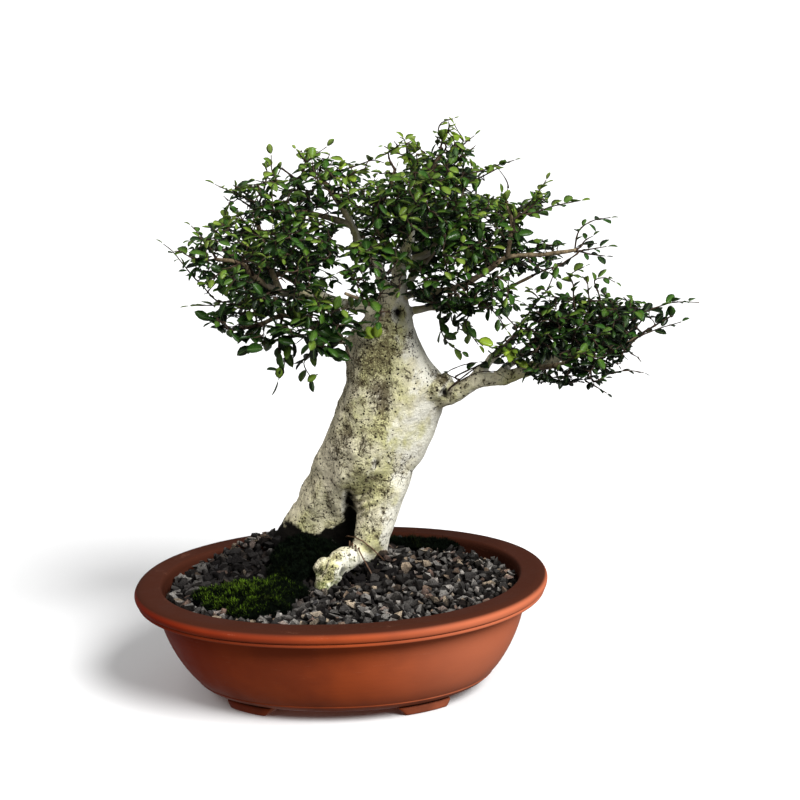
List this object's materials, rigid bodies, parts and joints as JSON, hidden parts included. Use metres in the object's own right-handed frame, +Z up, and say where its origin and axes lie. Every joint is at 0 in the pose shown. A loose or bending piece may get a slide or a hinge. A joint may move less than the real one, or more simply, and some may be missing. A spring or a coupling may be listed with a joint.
{
  "type": "chinese elm bonsai",
  "caption": "Chinese elm bonsai with a thick leaning pale trunk, small dark leaves and a low side branch, standing in gravel in an oval reddish-brown pot.",
  "frame": {"origin": "middle of the whole object's box, seen from above, at the height of the pot's feet", "axes": "+Z up; -Y to the front, where the viewer stands; +X to the right, where the trunk leans and the low branch reaches"},
  "size_m": [0.4954, 0.296, 0.4979],
  "materials": {
    "pot": "satin, moulded",
    "mesh": "matte",
    "soil": "loose, matte",
    "gravel": "crushed, matte",
    "moss": "soft, matte",
    "moss_shade": "soft, matte",
    "bark": "smooth bark with pits",
    "foliage": "glossy leaves",
    "wire": "brown, satin"
  },
  "bodies": {
    "root": {"pot": "pot", "drain_mesh_left": "mesh", "drain_mesh_right": "mesh", "soil": "soil", "gravel": "gravel", "moss_front": "moss", "moss_shade": "moss_shade", "moss_back": "moss_shade", "tie_wire": "wire", "tree": "bark", "spray_01_left_main": "foliage", "spray_02_left_main": "foliage", "spray_03_left_up": "foliage", "spray_04_left_up": "foliage", "spray_05_left_up": "foliage", "spray_06_back_left": "foliage", "spray_07_back_left": "foliage", "spray_08_back_left": "foliage", "spray_09_left_main": "foliage", "spray_10_left_low": "foliage", "spray_11_left_low": "foliage", "spray_12_left_low": "foliage", "spray_13_left_main": "foliage", "spray_14_left_main": "foliage", "spray_15_left_main": "foliage", "spray_16_left_back": "foliage", "spray_17_left_back": "foliage", "spray_18_back_left_low": "foliage", "spray_19_back_left_low": "foliage", "spray_20_crown_left": "foliage", "spray_21_crown_back": "foliage", "spray_22_leader": "foliage", "spray_23_leader": "foliage", "spray_24_leader": "foliage", "spray_25_right_inner": "foliage", "spray_26_right_up": "foliage", "spray_27_crown_left": "foliage", "spray_28_front": "foliage", "spray_29_front": "foliage", "spray_30_crown_left": "foliage", "spray_31_right_mid": "foliage", "spray_32_right_mid": "foliage", "spray_33_back": "foliage", "spray_34_back_right": "foliage", "spray_35_right_inner": "foliage", "spray_36_right_back": "foliage", "spray_37_right_up": "foliage", "spray_38_right_mid": "foliage", "spray_39_right_back": "foliage", "spray_40_low_right": "foliage", "spray_41_low_right": "foliage", "spray_42_low_right": "foliage", "spray_43_low_right": "foliage", "spray_44_low_right": "foliage", "spray_45_low_right": "foliage", "spray_46_low_front": "foliage", "spray_47_low_right": "foliage", "spray_48_low_fork": "foliage", "spray_49_low_fork": "foliage", "spray_50_low_back": "foliage"}
  },
  "joints": []
}
